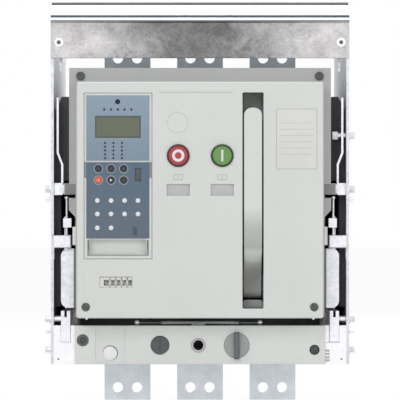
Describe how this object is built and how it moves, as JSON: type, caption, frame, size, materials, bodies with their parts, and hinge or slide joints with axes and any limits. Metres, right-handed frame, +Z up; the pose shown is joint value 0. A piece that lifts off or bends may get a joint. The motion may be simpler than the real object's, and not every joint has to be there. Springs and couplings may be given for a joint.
{
  "type": "air circuit breaker",
  "caption": "Withdrawable three-pole air circuit breaker in its folded steel cradle, with trip unit, push buttons, charging handle, racking gear and rear terminals.",
  "frame": {"origin": "middle of the four base fixing holes, on the underside of the cradle", "axes": "+X to the right seen from the front, +Y from the front to the terminals at the rear, +Z up"},
  "size_m": [0.3722, 0.375, 0.5006],
  "materials": {
    "zinc_sheet": "satin",
    "cover_plastic": "matte",
    "frame_plastic": "matte",
    "case_plastic": "matte",
    "guide_plastic": "matte",
    "panel_plastic": "matte",
    "silvered_copper": "satin",
    "bright_steel": "satin",
    "dark_steel": "satin",
    "trip_blue": "satin",
    "trip_grey": "matte",
    "display": "gloss",
    "red_plastic": "satin",
    "green_plastic": "satin",
    "key_dark": "matte",
    "key_orange": "matte",
    "flag_plastic": "matte",
    "counter_white": "matte",
    "knob_grey": "matte"
  },
  "bodies": {
    "cradle": {"side_plate_left": "zinc_sheet", "side_plate_right": "zinc_sheet", "top_beam": "zinc_sheet", "base_pan": "zinc_sheet", "front_panel": "panel_plastic", "rear_insulator": "case_plastic", "upper_terminal_left": "silvered_copper", "upper_terminal_middle": "silvered_copper", "upper_terminal_right": "silvered_copper", "lower_terminal_left": "silvered_copper", "lower_terminal_middle": "silvered_copper", "lower_terminal_right": "silvered_copper", "guide_rail_left": "zinc_sheet", "guide_rail_right": "zinc_sheet", "side_guide_left": "guide_plastic", "side_guide_right": "guide_plastic", "catch_left": "zinc_sheet", "catch_right": "zinc_sheet", "crank_bushing": "bright_steel", "cradle_bolts": "bright_steel", "panel_screws": "bright_steel"},
    "racking_screw": {"racking_screw": "bright_steel"},
    "racking_carriage": {"racking_carriage": "bright_steel"},
    "position_indicator": {"position_indicator": "knob_grey"},
    "release_button": {"release_button": "dark_steel"},
    "extension_rails": {"extension_rail_left": "zinc_sheet", "extension_rail_right": "zinc_sheet"},
    "rail_latch_left": {"rail_latch_left": "zinc_sheet"},
    "rail_latch_right": {"rail_latch_right": "zinc_sheet"},
    "breaker": {"front_frame": "frame_plastic", "front_cover": "cover_plastic", "breaker_case": "case_plastic", "arc_chute_left": "case_plastic", "arc_chute_middle": "case_plastic", "arc_chute_right": "case_plastic", "disconnect_clusters": "silvered_copper", "fixed_contacts": "silvered_copper", "lower_contact_bars": "silvered_copper", "support_plates": "bright_steel", "trip_unit": "trip_grey", "trip_unit_face": "trip_blue", "display_window": "display", "cover_screws": "bright_steel", "handle_pin": "bright_steel", "counter_case": "guide_plastic", "counter_wheels": "counter_white"},
    "main_shaft": {"main_shaft": "bright_steel"},
    "moving_contacts": {"moving_contacts": "silvered_copper"},
    "contact_flag": {"contact_flag": "flag_plastic"},
    "charge_flag": {"charge_flag": "flag_plastic"},
    "off_button": {"off_button": "red_plastic"},
    "on_button": {"on_button": "green_plastic"},
    "charging_handle": {"charging_handle": "cover_plastic"},
    "counter_units_wheel": {"counter_units_wheel": "counter_white"},
    "key_1": {"key_1": "key_dark"},
    "key_2": {"key_2": "key_dark"},
    "key_3": {"key_3": "key_dark"},
    "key_4": {"key_4": "key_orange"},
    "key_5": {"key_5": "key_dark"},
    "key_6": {"key_6": "key_dark"}
  },
  "joints": [
    {"name": "extension_rails", "type": "slide", "parent": "cradle", "child": "extension_rails", "axis": [0, -1, 0], "range_m": [0, 0.25]},
    {"name": "breaker_racking", "type": "slide", "parent": "extension_rails", "child": "breaker", "axis": [0, -1, 0], "range_m": [0, 0.052]},
    {"name": "racking_screw", "type": "hinge", "parent": "cradle", "child": "racking_screw", "pos_m": [-0.002, -0.1545, 0.0228], "axis": [0, -1, 0], "range_deg": [0, 4680]},
    {"name": "racking_carriage", "type": "slide", "parent": "cradle", "child": "racking_carriage", "axis": [0, -1, 0], "range_m": [0, 0.052]},
    {"name": "position_indicator", "type": "hinge", "parent": "cradle", "child": "position_indicator", "pos_m": [0.044, -0.155, 0.0228], "axis": [0, -1, 0], "range_deg": [0, 90]},
    {"name": "release_button", "type": "slide", "parent": "cradle", "child": "release_button", "axis": [0, 1, 0], "range_m": [0, 0.006], "stiffness_N_per_m": 700, "springref_m": -0.004},
    {"name": "rail_latch_left", "type": "slide", "parent": "extension_rails", "child": "rail_latch_left", "axis": [0, 0, -1], "range_m": [0, 0.008], "stiffness_N_per_m": 500, "springref_m": -0.008},
    {"name": "rail_latch_right", "type": "slide", "parent": "extension_rails", "child": "rail_latch_right", "axis": [0, 0, -1], "range_m": [0, 0.008], "stiffness_N_per_m": 500, "springref_m": -0.008},
    {"name": "main_shaft", "type": "hinge", "parent": "breaker", "child": "main_shaft", "pos_m": [0, -0.058, 0.15], "axis": [-1, 0, 0], "range_deg": [0, 50], "stiffness_Nm_per_rad": 2, "springref_deg": -22.92},
    {"name": "moving_contacts", "type": "hinge", "parent": "breaker", "child": "moving_contacts", "pos_m": [0, 0.03, 0.126], "axis": [-1, 0, 0], "range_deg": [0, 12.3]},
    {"name": "contact_flag", "type": "slide", "parent": "breaker", "child": "contact_flag", "axis": [0, 0, 1], "range_m": [0, 0.014]},
    {"name": "charge_flag", "type": "slide", "parent": "breaker", "child": "charge_flag", "axis": [0, 0, 1], "range_m": [0, 0.014]},
    {"name": "off_button", "type": "slide", "parent": "breaker", "child": "off_button", "axis": [0, 1, 0], "range_m": [0, 0.005], "stiffness_N_per_m": 900, "springref_m": -0.004},
    {"name": "on_button", "type": "slide", "parent": "breaker", "child": "on_button", "axis": [0, 1, 0], "range_m": [0, 0.005], "stiffness_N_per_m": 900, "springref_m": -0.004},
    {"name": "charging_handle", "type": "hinge", "parent": "breaker", "child": "charging_handle", "pos_m": [0.0627, -0.15, 0.0895], "axis": [1, 0, 0], "range_deg": [0, 55], "stiffness_Nm_per_rad": 1.2, "springref_deg": -22.92},
    {"name": "counter_units_wheel", "type": "hinge", "parent": "breaker", "child": "counter_units_wheel", "pos_m": [-0.0826, -0.191, 0.0998], "axis": [1, 0, 0], "continuous": true},
    {"name": "key_1", "type": "slide", "parent": "breaker", "child": "key_1", "axis": [0, 1, 0], "range_m": [0, 0.0008], "stiffness_N_per_m": 1500, "springref_m": -0.0008},
    {"name": "key_2", "type": "slide", "parent": "breaker", "child": "key_2", "axis": [0, 1, 0], "range_m": [0, 0.0008], "stiffness_N_per_m": 1500, "springref_m": -0.0008},
    {"name": "key_3", "type": "slide", "parent": "breaker", "child": "key_3", "axis": [0, 1, 0], "range_m": [0, 0.0008], "stiffness_N_per_m": 1500, "springref_m": -0.0008},
    {"name": "key_4", "type": "slide", "parent": "breaker", "child": "key_4", "axis": [0, 1, 0], "range_m": [0, 0.0008], "stiffness_N_per_m": 1500, "springref_m": -0.0008},
    {"name": "key_5", "type": "slide", "parent": "breaker", "child": "key_5", "axis": [0, 1, 0], "range_m": [0, 0.0008], "stiffness_N_per_m": 1500, "springref_m": -0.0008},
    {"name": "key_6", "type": "slide", "parent": "breaker", "child": "key_6", "axis": [0, 1, 0], "range_m": [0, 0.0008], "stiffness_N_per_m": 1500, "springref_m": -0.0008}
  ],
  "couplings": [
    {"joint": "racking_screw", "follows": "breaker_racking", "rad_per_m": 1570.8},
    {"joint": "racking_carriage", "follows": "breaker_racking", "ratio": 1},
    {"joint": "position_indicator", "follows": "breaker_racking", "rad_per_m": 30.207},
    {"joint": "moving_contacts", "follows": "main_shaft", "ratio": 0.2459},
    {"joint": "contact_flag", "follows": "main_shaft", "m_per_rad": 0.01604}
  ]
}
